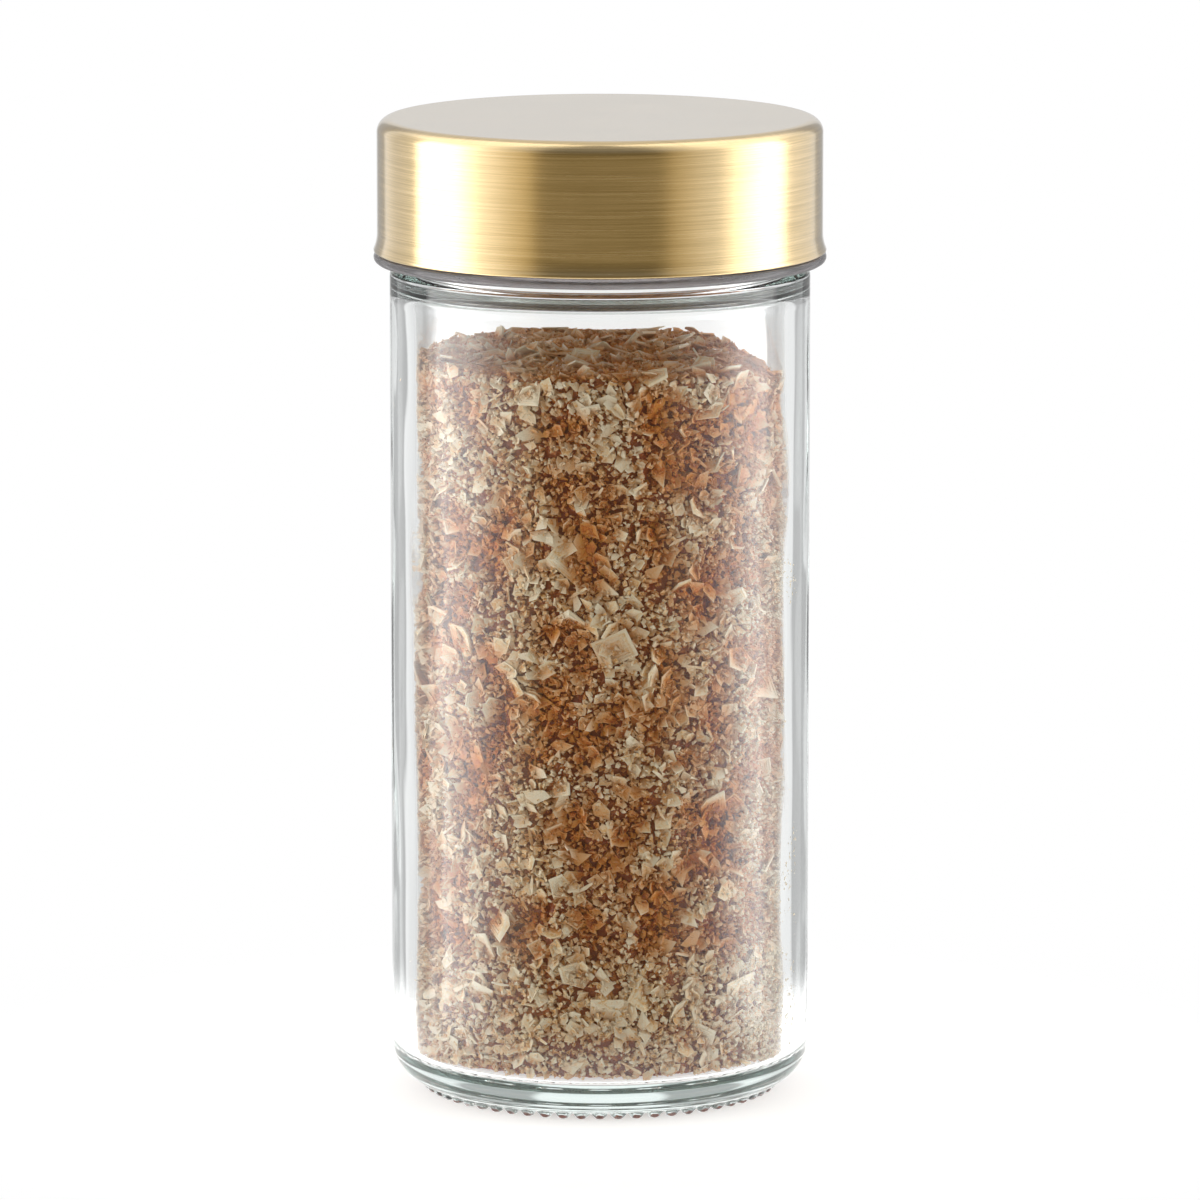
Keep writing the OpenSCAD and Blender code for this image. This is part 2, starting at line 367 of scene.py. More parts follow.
def arc(centre, radius, start, end, steps, rise=1.0):
    """Points on a circle from one angle to another, in degrees, both ends included. A rise
    other than 1 makes the circle that many times as high as wide."""
    angles = [math.radians(start + (end - start) * i / steps) for i in range(steps + 1)]
    return [
        (centre[0] + radius * math.cos(a), centre[1] + rise * radius * math.sin(a))
        for a in angles
    ]


def straight(start, end, step):
    """Points between two ends, without the ends, and one close to each end that keeps
    the shading of the flat part flat."""
    start, end = Vector(start), Vector(end)
    length = (end - start).length
    count = max(1, round(length / step))
    shares = [i / count for i in range(1, count)]
    if length > 3 * GUARD:
        shares = [GUARD / length, *shares, 1 - GUARD / length]
    return [tuple(start.lerp(end, s)) for s in sorted(shares)]


# %% Turn an outline about the axis
def turned(name, outline, segments):
    """A closed mesh object. The outline goes from the axis up the outside and back."""
    rings = outline[1:-1]
    angles = np.arange(segments) * (2 * math.pi / segments)
    radii = np.array([p[0] for p in rings])
    heights = np.array([p[1] for p in rings])
    points = np.stack(
        [
            np.outer(radii, np.cos(angles)),
            np.outer(radii, np.sin(angles)),
            np.repeat(heights[:, None], segments, axis=1),
        ],
        axis=-1,
    ).reshape(-1, 3)
    first_pole = len(points)
    last_pole = first_pole + 1
    poles = [(0, 0, outline[0][1]), (0, 0, outline[-1][1])]
    points = np.vstack([points, poles])
    here = np.arange(segments)
    there = (here + 1) % segments
    faces = []
    for row in range(len(rings) - 1):
        a, b = row * segments, (row + 1) * segments
        faces += np.stack([a + here, a + there, b + there, b + here], axis=1).tolist()
    top = (len(rings) - 1) * segments
    faces += [(first_pole, int(k), int(j)) for j, k in zip(here, there)]
    faces += [(top + int(j), top + int(k), last_pole) for j, k in zip(here, there)]
    mesh = bpy.data.meshes.new(name)
    mesh.from_pydata(points.tolist(), [], faces)
    mesh.polygons.foreach_set("use_smooth", [True] * len(faces))
    made = bpy.data.objects.new(name, mesh)
    bpy.context.scene.collection.objects.link(made)
    return made


def report(piece):
    mesh = piece.data
    mesh.calc_loop_triangles()
    print(piece.name, len(mesh.vertices), "points", len(mesh.loop_triangles), "triangles")


# %% [markdown]
# ## Geometry Nodes as tools
# Where a shape follows a rule, a Geometry Nodes tree applies the rule: it lifts a thread
# round the neck, presses beads out of the foot, or scatters flakes. Each tree is a tool
# with named inputs. It is run once on a mesh and leaves a plain mesh behind.

# %% A Geometry Nodes tree with named inputs
class Tool(Graph):
    """A Geometry Nodes tree that is run once on a mesh object."""

    def __init__(self, name, numbers=(), whole=(), collections=()):
        super().__init__(bpy.data.node_groups.new(name, "GeometryNodeTree"))
        kinds = {"NodeSocketGeometry": ["Mesh"], "NodeSocketFloat": numbers}
        kinds["NodeSocketInt"] = whole
        kinds["NodeSocketCollection"] = collections
        kinds["NodeSocketMaterial"] = ["Finish"]
        self.sockets = {}
        for kind, names in kinds.items():
            for label in names:
                made = self.tree.interface.new_socket(label, in_out="INPUT", socket_type=kind)
                self.sockets[label] = made.identifier
        self.tree.interface.new_socket("Mesh", in_out="OUTPUT", socket_type="NodeSocketGeometry")
        self.given = self.node("NodeGroupInput")

    def finish(self, geometry):
        """Ends the tree: instances become real, and everything gets its material."""
        real = self.node("GeometryNodeRealizeInstances", None, {"Geometry": geometry})[0]
        return self.finish_real(real)

    def finish_real(self, real):
        inputs = {"Geometry": real, "Material": self.given["Finish"]}
        painted = self.node("GeometryNodeSetMaterial", None, inputs)[0]
        self.node("NodeGroupOutput", None, {"Mesh": painted})

    def run(self, piece, material, **sizes):
        """Runs the tree on the piece and leaves a plain mesh. An underscore in a size's
        name stands for a space in the input's name."""
        modifier = piece.modifiers.new(self.tree.name, "NODES")
        modifier.node_group = self.tree
        modifier[self.sockets["Finish"]] = material
        for label, value in sizes.items():
            modifier[self.sockets[label.replace("_", " ")]] = value
        depsgraph = bpy.context.evaluated_depsgraph_get()
        evaluated = piece.evaluated_get(depsgraph)
        mesh = bpy.data.meshes.new_from_object(
            evaluated, preserve_all_data_layers=True, depsgraph=depsgraph
        )
        piece.modifiers.remove(modifier)
        piece.data = mesh
        mesh.name = piece.name
        report(piece)


def polar(tool):
    """The place of each point as radius, angle as a share of a turn, and height."""
    x, y, z = tool.split(tool.node("GeometryNodeInputPosition")["Position"])
    radius = tool.maths("SQRT", x * x + y * y)
    turn = tool.maths("FRACT", tool.maths("ARCTAN2", y, x) / (2 * math.pi) + 1.0)
    return x, y, z, radius, turn


def moved(tool, geometry, x, y, z):
    inputs = {"Geometry": geometry, "Position": tool.join(x, y, z)}
    return tool.node("GeometryNodeSetPosition", None, inputs)[0]


# %% [markdown]
# ## The screw thread
# The thread on the neck is a ridge that climbs 4 mm in each turn and runs out softly at
# both ends. The lid's insert carries the matching ridge on its inside. It could be swept
# along a helix and joined on, but in glass every hidden overlap would show. So the tree
# takes the wall itself and pushes its points outwards, or inwards, where the helix passes.

# %% The thread tool
def thread_tool():
    names = ["Wall radius", "Start height", "Pitch", "Turns", "Depth", "Foot width", "Crest width"]
    tool = Tool("raise_thread", names)
    size = tool.given
    x, y, z, radius, turn = polar(tool)
    level = (z - size["Start height"]) / size["Pitch"]
    place = tool.maths("ROUND", level - turn) + turn
    away = tool.maths("ABSOLUTE", z - size["Start height"] - place * size["Pitch"])
    half_foot = size["Foot width"] * 0.5
    half_crest = size["Crest width"] * 0.5
    ridge = 1.0 - tool.smooth(away, half_crest, half_foot)
    fade = tool.maths("MINIMUM", place, size["Turns"] - place)
    ridge = ridge * tool.smooth(fade, 0.0, 1 / 6)
    on_wall = tool.maths("LESS_THAN", tool.maths("ABSOLUTE", radius - size["Wall radius"]), 0.0003)
    grown = 1.0 + size["Depth"] * ridge * on_wall / radius
    tool.finish(moved(tool, size["Mesh"], x * grown, y * grown, z))
    return tool


raise_thread = thread_tool()
thread_pitch = 4.0 * MM
thread_turns = 1.3
thread_depth = 1.2 * MM

# %% [markdown]
# ## Grip beads under the foot
# A ring of 60 small half-round beads stands under the heel. They keep the jar from
# sliding and stand the hot glass off the belt when it is made. Again the tree moves the
# foot's own points: each one drops to the surface of the ball above it, and no lower than
# the table.

# %% The bead tool
bead_count = 60
bead_r = 0.9 * MM
bead_circle_r = body_r - 4.0 * MM
bead_middle_z = bead_r - 0.1 * MM


def bead_tool():
    names = ["Circle radius", "Bead radius", "Bead height"]
    tool = Tool("press_beads", names, whole=["Count"])
    size = tool.given
    x, y, z, radius, turn = polar(tool)
    beat = tool.maths("FRACT", turn * size["Count"] + 0.5) - 0.5
    angle = beat * (2 * math.pi) / size["Count"]
    along = radius * tool.maths("COSINE", angle) - size["Circle radius"]
    across = radius * tool.maths("SINE", angle)
    inside = size["Bead radius"] * size["Bead radius"] - along * along - across * across
    drop = tool.maths("SQRT", tool.maths("MAXIMUM", inside, 0.0))
    pressed = tool.maths("MINIMUM", z, size["Bead height"] - drop)
    pressed = tool.maths("MAXIMUM", pressed, 0.0)
    under = tool.maths("GREATER_THAN", inside, 0.0)
    under = under * tool.maths("LESS_THAN", z, size["Bead height"])
    tool.finish(moved(tool, size["Mesh"], x, y, z + (pressed - z) * under))
    return tool


press_beads = bead_tool()

# %% [markdown]
# ## Uneven glass
# Pressed glass is smooth where it met the mould, and a little uneven inside, where it met
# only the plunger. That unevenness is far too small to see by itself, but it makes the
# bright and dark lines at the edges waver. Noise that is stretched upwards moves the
# inner wall in and out by a few hundredths of a millimetre.

# %% The ripple tool
def ripple_tool():
    names = ["Wall radius", "Low", "High", "Depth", "Width", "Stretch"]
    tool = Tool("ripple_wall", names)
    size = tool.given
    x, y, z, radius, turn = polar(tool)
    place = tool.join(x, y, z / size["Stretch"])
    wave = tool.noise(place, 1.0 / size["Width"], 1.0) - 0.5
    fade_in = tool.smooth(z - size["Low"], 0.0, 0.003)
    fade_out = tool.smooth(size["High"] - z, 0.0, 0.003)
    on_wall = tool.maths("LESS_THAN", tool.maths("ABSOLUTE", radius - size["Wall radius"]), 0.0003)
    shift = wave * fade_in * fade_out * on_wall * size["Depth"] * 2.0
    grown = 1.0 + shift / radius
    tool.finish(moved(tool, size["Mesh"], x * grown, y * grown, z))
    return tool


ripple_wall = ripple_tool()

# %% [markdown]
# ## Clear glass
# Soda-lime glass bends light with an index of 1.5 and is faintly green where it is thick.
# The green comes from absorption inside, so it deepens by itself in the base and the
# shoulder. Light that reaches the salt through glass is hard to find for a path tracer,
# so shadow rays and soft bounces pass straight through, and only rays that the eye
# follows are bent.

# %% The glass material
def clear_glass():
    material, graph = new_material("jar_glass_clear")
    body = {"Base Color": (1, 1, 1, 1), "Roughness": 0.0, "IOR": 1.5, "Transmission Weight": 1.0}
    glass = graph.node("ShaderNodeBsdfPrincipled", None, body)
    soft = graph.node("ShaderNodeBsdfTransparent", None, {"Color": (0.97, 0.98, 0.975, 1)})
    shade = graph.node("ShaderNodeBsdfTransparent", None, {"Color": (0.96, 0.975, 0.97, 1)})
    path = graph.node("ShaderNodeLightPath")
    inner = {0: path["Is Diffuse Ray"], 1: glass["BSDF"], 2: soft["BSDF"]}
    bent = graph.node("ShaderNodeMixShader", None, inner)
    outer = {0: path["Is Shadow Ray"], 1: bent[0], 2: shade["BSDF"]}
    chosen = graph.node("ShaderNodeMixShader", None, outer)
    green = {"Color": (0.62, 0.88, 0.82, 1), "Density": 9.0}
    volume = graph.node("ShaderNodeVolumeAbsorption", None, green)
    finish_material(graph, chosen[0], volume[0])
    return material


glass_finish = clear_glass()

# %% [markdown]
# ## The glass body
# One outline runs from the hollow under the base, round the foot and the heel, up the
# wall to the shoulder and the neck, over the rim and back down inside. Points lie close
# together where the thread and the beads will be raised, and far apart on plain walls.

# %% Outline of the glass
heel_r = 4.4 * MM
heel_x = body_r - heel_r
foot_lift = 0.6 * MM
foot_w = 2.2 * MM
punt_r = heel_x - foot_w
punt_depth = 1.2 * MM
shoulder_round = 0.5 * MM
rim_round = 0.9 * MM
neck_fillet = 0.2 * MM
transfer_z = shoulder_z + 3.0 * MM
transfer_out = 1.0 * MM
transfer_w = 1.2 * MM
floor_round = 1.0 * MM


def punt_points():
    """The shallow dome under the base, from the axis to the foot."""
    ball_r = (punt_r**2 + punt_depth**2) / (2 * punt_depth)
    centre_z = foot_lift + punt_depth - ball_r
    radii = [punt_r * (1 - (1 - i / 14) ** 1.3) for i in range(15)]
    return [(r, centre_z + math.sqrt(ball_r**2 - r**2)) for r in radii[:-1]]


def glass_outline():
    step_r = cavity_r - mouth_r
    bulge = math.degrees(math.asin(transfer_w / 2 / transfer_out))
    points = punt_points()
    points += arc((punt_r + 0.3 * MM, foot_lift + 0.3 * MM), 0.3 * MM, 200, 270, 4)
    points += straight((punt_r + 0.3 * MM, foot_lift), (heel_x, foot_lift), 0.13 * MM)
    points += arc((heel_x, foot_lift + heel_r), heel_r, -90, -70, 14)
    points += arc((heel_x, foot_lift + heel_r), heel_r, -66, 0, 16)
    wall_top = shoulder_z - shoulder_round
    points += straight((body_r, foot_lift + heel_r), (body_r, wall_top), 4 * MM)
    points += arc((body_r - shoulder_round, wall_top), shoulder_round, 0, 90, 8)
    fillet = (neck_r + neck_fillet, shoulder_z + neck_fillet)
    points += arc(fillet, neck_fillet, 270, 180, 5)
    points += straight((neck_r, fillet[1]), (neck_r, transfer_z - transfer_w / 2), MM)
    points += arc((neck_r, transfer_z), transfer_out, -bulge, bulge, 6)
    neck_top = rim_z - rim_round
    points += straight((neck_r, transfer_z + transfer_w / 2), (neck_r, neck_top), 0.28 * MM)
    points += arc((neck_r - rim_round, neck_top), rim_round, 0, 90, 7)
    points += arc((mouth_r + rim_round, neck_top), rim_round, 90, 180, 7)
    points += straight((mouth_r, neck_top), (mouth_r, cavity_top_z), 2.5 * MM)
    narrow_z = cavity_top_z - narrowing_h
    points += arc((mouth_r, narrow_z), step_r, 90, 0, 16, narrowing_h / step_r)
    corner_z = floor_z + floor_round
    points += straight((cavity_r, narrow_z), (cavity_r, corner_z), 1.6 * MM)
    points += arc((cavity_r - floor_round, corner_z), floor_round, 0, -90, 9)
    points += straight((cavity_r - floor_round, floor_z), (0.0, floor_z), 3 * MM)
    return points + [(0.0, floor_z)]


# %% Turn the glass, then raise its thread and beads
glass = turned("glass_body", glass_outline(), 372)
lid_thread_z = 98.65 * MM
neck_thread_z = 100.2 * MM
raise_thread.run(
    glass,
    glass_finish,
    Wall_radius=neck_r,
    Start_height=neck_thread_z,
    Pitch=thread_pitch,
    Turns=thread_turns,
    Depth=thread_depth,
    Foot_width=2.0 * MM,
    Crest_width=1.0 * MM,
)
press_beads.run(
    glass,
    glass_finish,
    Circle_radius=bead_circle_r,
    Bead_radius=bead_r,
    Bead_height=bead_middle_z,
    Count=bead_count,
)
ripple_wall.run(
    glass,
    glass_finish,
    Wall_radius=cavity_r,
    Low=floor_z + floor_round,
    High=cavity_top_z - narrowing_h,
    Depth=0.09 * MM,
    Width=6.0 * MM,
    Stretch=3.5,
)
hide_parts("jar_glass")
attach(glass, "jar")

# %% [markdown]
# ## Brushed metal
# The cover is thin brass-coloured metal. It was brushed while it turned, so its marks run
# round the side, and straight across the top. Marks that run sideways smear reflections
# up and down but leave them sharp sideways, which is what the anisotropic setting does.
# On top of that, a fine streaky bump shows the single marks.

# %% The metal material
def brushed_brass():
    material, graph = new_material("brushed_brass_colour")
    place = graph.node("ShaderNodeTexCoord")["Object"]
    x, y, z = graph.split(place)
    side_marks = graph.join(x * 55, y * 55, z * 6500)
    top_marks = graph.join(x * 70, y * 9000, z * 70)
    side = graph.noise(side_marks, 1.0, 3.0, 0.7)
    top = graph.noise(top_marks, 1.0, 3.0, 0.65)
    cloud = graph.noise(place, 110.0, 3.0)
    lacquer = {
        "Metallic": 1.0,
        "Coat Weight": 1.0,
        "Coat Roughness": 0.08,
        "Coat IOR": 1.5,
    }

    def brushed(marks, satin, settings):
        bump = {"Strength": 0.5, "Distance": 0.00002, "Height": marks}
        tone = ((marks - 0.5) * 2.4 + (cloud - 0.5) * 0.9 + 0.5).clamped()
        colour = graph.mix((0.66, 0.49, 0.235, 1), (0.90, 0.68, 0.365, 1), tone)
        inputs = lacquer | settings
        inputs |= {
            "Base Color": colour,
            "Roughness": satin + marks * 0.2,
            "Normal": graph.node("ShaderNodeBump", None, bump)["Normal"],
        }
        return graph.node("ShaderNodeBsdfPrincipled", None, inputs)["BSDF"]

    round_side = brushed(side, 0.14, {"Anisotropic": 0.75, "Anisotropic Rotation": 0.25})
    flat_top = brushed(top, 0.05, {"Anisotropic": 0.0})
    on_top = graph.smooth(z, cover_high.z - 0.9 * MM, cover_high.z - 0.1 * MM)
    both = {0: on_top, 1: round_side, 2: flat_top}
    finish_material(graph, graph.node("ShaderNodeMixShader", None, both)[0])
    return material


cover_finish = brushed_brass()

# %% [markdown]
# ## The lid's cover
# The cover is drawn from thin sheet: a flat top, a soft top edge, a straight side, and a
# lower edge that flares out a little over the insert's flange. The outline goes over the
# outside and comes back inside one sheet's thickness away, so the shell has a real edge.

# %% Turn the cover
metal_t = 0.45 * MM
flare_out = 0.4 * MM
flare_h = 1.9 * MM
cover_round = 1.6 * MM
cover_r = cover_high.x - flare_out


def flare_points(radius, low, steps):
    """The lower edge's outward sweep, from the bottom up."""
    shares = [i / steps for i in range(steps + 1)]
    return [(radius + flare_out * (1 - s) ** 2, low + flare_h * s) for s in shares]


def cover_outline():
    low, high = cover_low.z, cover_high.z
    lip = metal_t / 2
    inner_r, inner_high = cover_r - metal_t, high - metal_t
    inner_round = cover_round - metal_t
    lip_middle = (cover_high.x - lip, low + lip)
    points = [(0.0, inner_high)]
    points += straight((0.0, inner_high), (inner_r - inner_round, inner_high), 3 * MM)
    points += arc((inner_r - inner_round, inner_high - inner_round), inner_round, 90, 0, 6)
    points += straight((inner_r, inner_high - inner_round), (inner_r, low + flare_h), 2 * MM)
    points += list(reversed(flare_points(inner_r, low + lip, 8)))[1:-1]
    points += arc(lip_middle, lip, 180, 360, 8)
    points += flare_points(cover_r, low + lip, 10)[1:]
    points += straight((cover_r, low + lip + flare_h), (cover_r, high - cover_round), 1.5 * MM)
    points += arc((cover_r - cover_round, high - cover_round), cover_round, 0, 90, 14)
    points += straight((cover_r - cover_round, high), (0.0, high), 2 * MM)
    return points + [(0.0, high)]


cover = turned("lid_cover_shell", cover_outline(), 384)
cover.data.materials.append(cover_finish)
report(cover)
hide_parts("lid_cover")
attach(cover, "lid")

# %% [markdown]
# ## Grey see-through plastic
# The insert is moulded in a clear grey plastic. Light goes some way into it, so it is
# part glass-like and part plain. Its flange is the thin grey ring under the metal.

# %% The plastic material
def grey_plastic():
    material, graph = new_material("grey_clear_plastic")
    place = graph.node("ShaderNodeTexCoord")["Object"]
    haze = graph.noise(place, 400.0, 3.0)
    bump = graph.node(
        "ShaderNodeBump", None, {"Strength": 0.15, "Distance": 0.00003, "Height": haze}
    )
    colour = graph.mix((0.43, 0.40, 0.42, 1), (0.59, 0.56, 0.58, 1), haze)
    inputs = {
        "Base Color": colour,
        "Roughness": 0.12 + haze * 0.12,
        "IOR": 1.49,
        "Transmission Weight": 0.88,
        "Normal": bump["Normal"],
    }
    plastic = graph.node("ShaderNodeBsdfPrincipled", None, inputs)
    shade = graph.node("ShaderNodeBsdfTransparent", None, {"Color": (0.5, 0.49, 0.51, 1)})
    path = graph.node("ShaderNodeLightPath")
    both = {0: path["Is Shadow Ray"], 1: plastic["BSDF"], 2: shade["BSDF"]}
    finish_material(graph, graph.node("ShaderNodeMixShader", None, both)[0])
    return material


insert_finish = grey_plastic()

# %% [markdown]
# ## The screw insert
# The insert carries the lid's thread, a small bead that holds the liner, and the drive
# ribs that the metal cover is pressed over. It is turned like the glass, its thread comes
# from the same tool with a negative depth, and a second small tree raises the ribs.

# %% The rib tool
def rib_tool():
    tool = Tool("raise_ribs", ["Wall radius", "Low", "High", "Depth", "Width"], whole=["Count"])
    size = tool.given
    x, y, z, radius, turn = polar(tool)
    beat = tool.maths("FRACT", turn * size["Count"] + 0.5) - 0.5
    away = tool.maths("ABSOLUTE", beat) * (2 * math.pi) * radius / size["Count"]
    ridge = tool.maths("LESS_THAN", away, size["Width"] * 0.5)
    band = tool.maths("GREATER_THAN", z, size["Low"]) * tool.maths("LESS_THAN", z, size["High"])
    on_wall = tool.maths("LESS_THAN", tool.maths("ABSOLUTE", radius - size["Wall radius"]), 0.0001)
    grown = 1.0 + size["Depth"] * ridge * band * on_wall / radius
    tool.finish(moved(tool, size["Mesh"], x * grown, y * grown, z))
    return tool


raise_ribs = rib_tool()

# %% Outline of the insert
insert_wall = 1.52 * MM
bore_r = neck_r + 1.5 * MM
core_r = bore_r + insert_wall
flange_t = cover_low.z - insert_low.z
flange_r = insert_high.x
ceiling_z = liner_high.z + 0.05 * MM
keeper_h = 0.7 * MM
keeper_out = 0.8 * MM
lead_in = 0.5 * MM


def insert_outline():
    low, high = insert_low.z, insert_high.z
    edge_r = flange_t / 2
    top_round = 1.12 * MM
    keeper_z = rim_z - keeper_h / 2
    points = [(0.0, ceiling_z)]
    points += straight((0.0, ceiling_z), (bore_r, ceiling_z), 3 * MM) + [(bore_r, ceiling_z)]
    points += [(bore_r, rim_z - 0.05 * MM), (bore_r - keeper_out * 0.85, keeper_z + 0.08 * MM)]
    points += [(bore_r - keeper_out, keeper_z), (bore_r - keeper_out * 0.85, keeper_z - 0.08 * MM)]
    points += [(bore_r, rim_z - keeper_h)]
    points += straight((bore_r, rim_z - keeper_h), (bore_r, low + lead_in), 0.3 * MM)
    points += [(bore_r, low + lead_in), (bore_r + lead_in, low)]
    points += straight((bore_r + lead_in, low), (flange_r - edge_r, low), 0.6 * MM)
    points += arc((flange_r - edge_r, low + edge_r), edge_r, -90, 90, 14)
    points += straight((flange_r - edge_r, low + flange_t), (core_r, low + flange_t), 0.3 * MM)
    points += [(core_r, low + flange_t)]
    points += straight((core_r, low + flange_t), (core_r, high - top_round), 1 * MM)
    points += arc((core_r - top_round, high - top_round), top_round, 0, 90, 6)
    points += straight((core_r - top_round, high), (0.0, high), 3 * MM)
    return points + [(0.0, high)]


# %% Turn the insert, then raise its thread and ribs
insert = turned("lid_screw_insert", insert_outline(), 432)
raise_thread.run(
    insert,
    insert_finish,
    Wall_radius=bore_r,
    Start_height=lid_thread_z,
    Pitch=thread_pitch,
    Turns=thread_turns,
    Depth=-thread_depth,
    Foot_width=2.0 * MM,
    Crest_width=1.0 * MM,
)
raise_ribs.run(
    insert,
    insert_finish,
    Wall_radius=core_r,
    Low=cover_low.z + 0.5 * MM,
    High=cover_low.z + 9.0 * MM,
    Depth=0.2 * MM,
    Width=1.0 * MM,
    Count=36,
)
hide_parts("lid_insert")
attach(insert, "lid")

# %% [markdown]
# ## The sealing liner
# A disc of white foam with a smooth skin lies loose under the insert's top. The glass rim
# has pressed a shallow ring into its underside, which shows when the lid is off.

# %% The foam material and the disc
def white_foam():
    material, graph = new_material("white_liner_foam")
    place = graph.node("ShaderNodeTexCoord")["Object"]
    cells = graph.node("ShaderNodeTexVoronoi", None, {"Vector": place, "Scale": 2500.0})
    bump = graph.node(
        "ShaderNodeBump",
        None,
        {"Strength": 0.3, "Distance": 0.00004, "Height": cells["Distance"]},
    )
    colour = graph.mix((0.80, 0.80, 0.78, 1), (0.90, 0.90, 0.88, 1), cells["Distance"])
    inputs = {"Base Color": colour, "Roughness": 0.55, "Normal": bump["Normal"]}
    foam = graph.node("ShaderNodeBsdfPrincipled", None, inputs)
    finish_material(graph, foam["BSDF"])
    return material


def liner_outline():
    low, high, radius = liner_low.z, liner_high.z, liner_high.x
    edge = 0.15 * MM
    print_r = (mouth_r + neck_r) / 2
    print_w = 1.6 * MM
    print_depth = 0.12 * MM
    points = [(0.0, low)]
    points += straight((0.0, low), (print_r - print_w, low), 3 * MM)
    for i in range(17):
        share = i / 16
        sunk = print_depth * (0.5 - 0.5 * math.cos(2 * math.pi * share))
        points.append((print_r + print_w * (2 * share - 1) * 0.9, low + sunk))
    points += arc((radius - edge, low + edge), edge, -90, 0, 4)
    points += arc((radius - edge, high - edge), edge, 0, 90, 4)
    points += straight((radius - edge, high), (0.0, high), 4 * MM)
    return points + [(0.0, high)]


liner = turned("lid_sealing_liner", liner_outline(), 192)
liner.data.materials.append(white_foam())
report(liner)
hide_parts("lid_liner")
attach(liner, "liner")

# %% [markdown]
# ## Salt flakes
# The jar holds coarse smoked salt: thin pale plates, broken shards and needles, in a
# matrix of small amber grains. Each is a crystal, so its outline has a few straight sides
# and its face has steps that run parallel to them. A handful of crystals of each kind is
# made here by code. A Geometry Nodes tree then strews them over a bed by the thousand.

# %% One crystal from a few rings of corners
random.seed(4)


def crystal(name, corners, rings, jitter, peak):
    """A closed crystal of unit size. Each ring is (scale, height) of the corner polygon, from
    its underside to its top. The underside is closed flat, and the top by facets that meet
    in a point above or below the last ring."""
    points = []
    rims = []
    for scale, height in rings:
        for px, py in corners:
            wobble = [random.uniform(-jitter, jitter) for _ in range(3)]
            points.append((px * scale + wobble[0], py * scale + wobble[1], height + 0.4 * wobble[2]))
            rims.append(1.0 if scale > 0.93 else 0.0)
    n = len(corners)
    last = len(points)
    side = random.uniform(-0.15, 0.15)
    points.append((side, -side, rings[-1][1] + peak))
    rims.append(0.0)
    faces = [tuple(reversed(range(n)))]
    for ring in range(len(rings) - 1):
        a = ring * n
        for i in range(n):
            j = (i + 1) % n
            faces.append((a + i, a + j, a + n + j, a + n + i))
    faces += [(last - n + i, last - n + (i + 1) % n, last) for i in range(n)]
    mesh = bpy.data.meshes.new(name)
    mesh.from_pydata([tuple(MM * c for c in p) for p in points], [], faces)
    rim = mesh.attributes.new("rim", "FLOAT", "POINT")
    rim.data.foreach_set("value", rims)
    # A random painted shade for each face, as if each facet caught the light differently.
    facet = mesh.attributes.new("facet", "FLOAT", "FACE")
    facet.data.foreach_set("value", [random.random() for _ in faces])
    uv = mesh.uv_layers.new(name="flat")
    for loop in mesh.loops:
        px, py, pz = points[loop.vertex_index]
        uv.data[loop.index].uv = (px, py)
    return mesh


def shard_corners(count, length, uneven):
    """Corners of a broken plate: about one millimetre across and length times as long."""
    corners = []
    for i in range(count):
        angle = 2 * math.pi * (i + random.uniform(-uneven, uneven)) / count
        reach = 0.5 * random.uniform(1 - uneven, 1 + uneven)
        corners.append((reach * math.cos(angle) * length, reach * math.sin(angle)))
    return corners


def square_corners(length, cut):
    """Corners of a square crystal with one corner broken off."""
    a, b = 0.5 * length, 0.5
    return [(-a, -b), (a, -b), (a, b - cut), (a - cut, b), (-a, b)]


# %% The kinds of crystal
def shelf(name, meshes):
    """A collection that holds one object for each mesh, away from the scene."""
    collection = bpy.data.collections.new(name)
    for mesh in meshes:
        collection.objects.link(bpy.data.objects.new(mesh.name, mesh))
    print(name, [len(mesh.polygons) for mesh in meshes])
    return collection


def grain_meshes():
    meshes = []
    for i in range(12):
        corners = shard_corners(3 + i % 2 + i % 4 // 3, 1.2, 0.16)
        rings = [(0.8, -0.22), (1.0, 0.16)]
        peak = random.uniform(-0.12, 0.2)
        meshes.append(crystal(f"grain_{i}", corners, rings, 0.07, peak))
    return meshes


def chip_meshes():
    meshes = []
    for i in range(10):
        corners = shard_corners(4 + i % 3, 1.0 + 0.25 * (i % 4), 0.24)
        rings = [(0.94, -0.06), (1.0, 0.05)]
        peak = random.uniform(-0.09, 0.05)
        meshes.append(crystal(f"chip_{i}", corners, rings, 0.03, peak))
    return meshes


def needle_meshes():
    corners = [(-0.5, -0.05), (0.45, -0.04), (0.5, 0.04), (-0.48, 0.05)]
    rings = [(0.97, -0.035), (1.0, 0.035)]
    return [crystal(f"needle_{i}", corners, rings, 0.012, 0.02) for i in range(4)]


def plate_meshes():
    meshes = []
    for i in range(6):
        if i % 2:
            corners = square_corners(1.0 + 0.25 * i / 5, 0.22)
        else:
            corners = shard_corners(5, 1.3, 0.2)
        rings = [(0.96, -0.045), (1.0, 0.0), (0.985, 0.045)]
        height = 0.045
        for step in range(4):
            scale = 0.84 - 0.19 * step
            rings += [(scale, height), (scale - 0.03, height - 0.02)]
            height -= 0.02
        meshes.append(crystal(f"plate_{i}", corners, rings, 0.014, -0.02))
    return meshes


grains = shelf("salt_grains", grain_meshes())
chips = shelf("salt_chips", chip_meshes())
needles = shelf("salt_needles", needle_meshes())
plates = shelf("salt_plates", plate_meshes())

# %% [markdown]
# ## The bed of salt
# Under the flakes lies a plain bed, so that nobody looks through the salt. It starts as a
# copy of the frame's solid for the salt, which already has the heap's hollows and slope,
# and a disc that reaches down to the glass floor. A voxel remesh makes one skin of even
# cells round both, and a small tree shrinks it and roughens it.

# %% Make the bed
surface_z = rim_z - 23.6 * MM


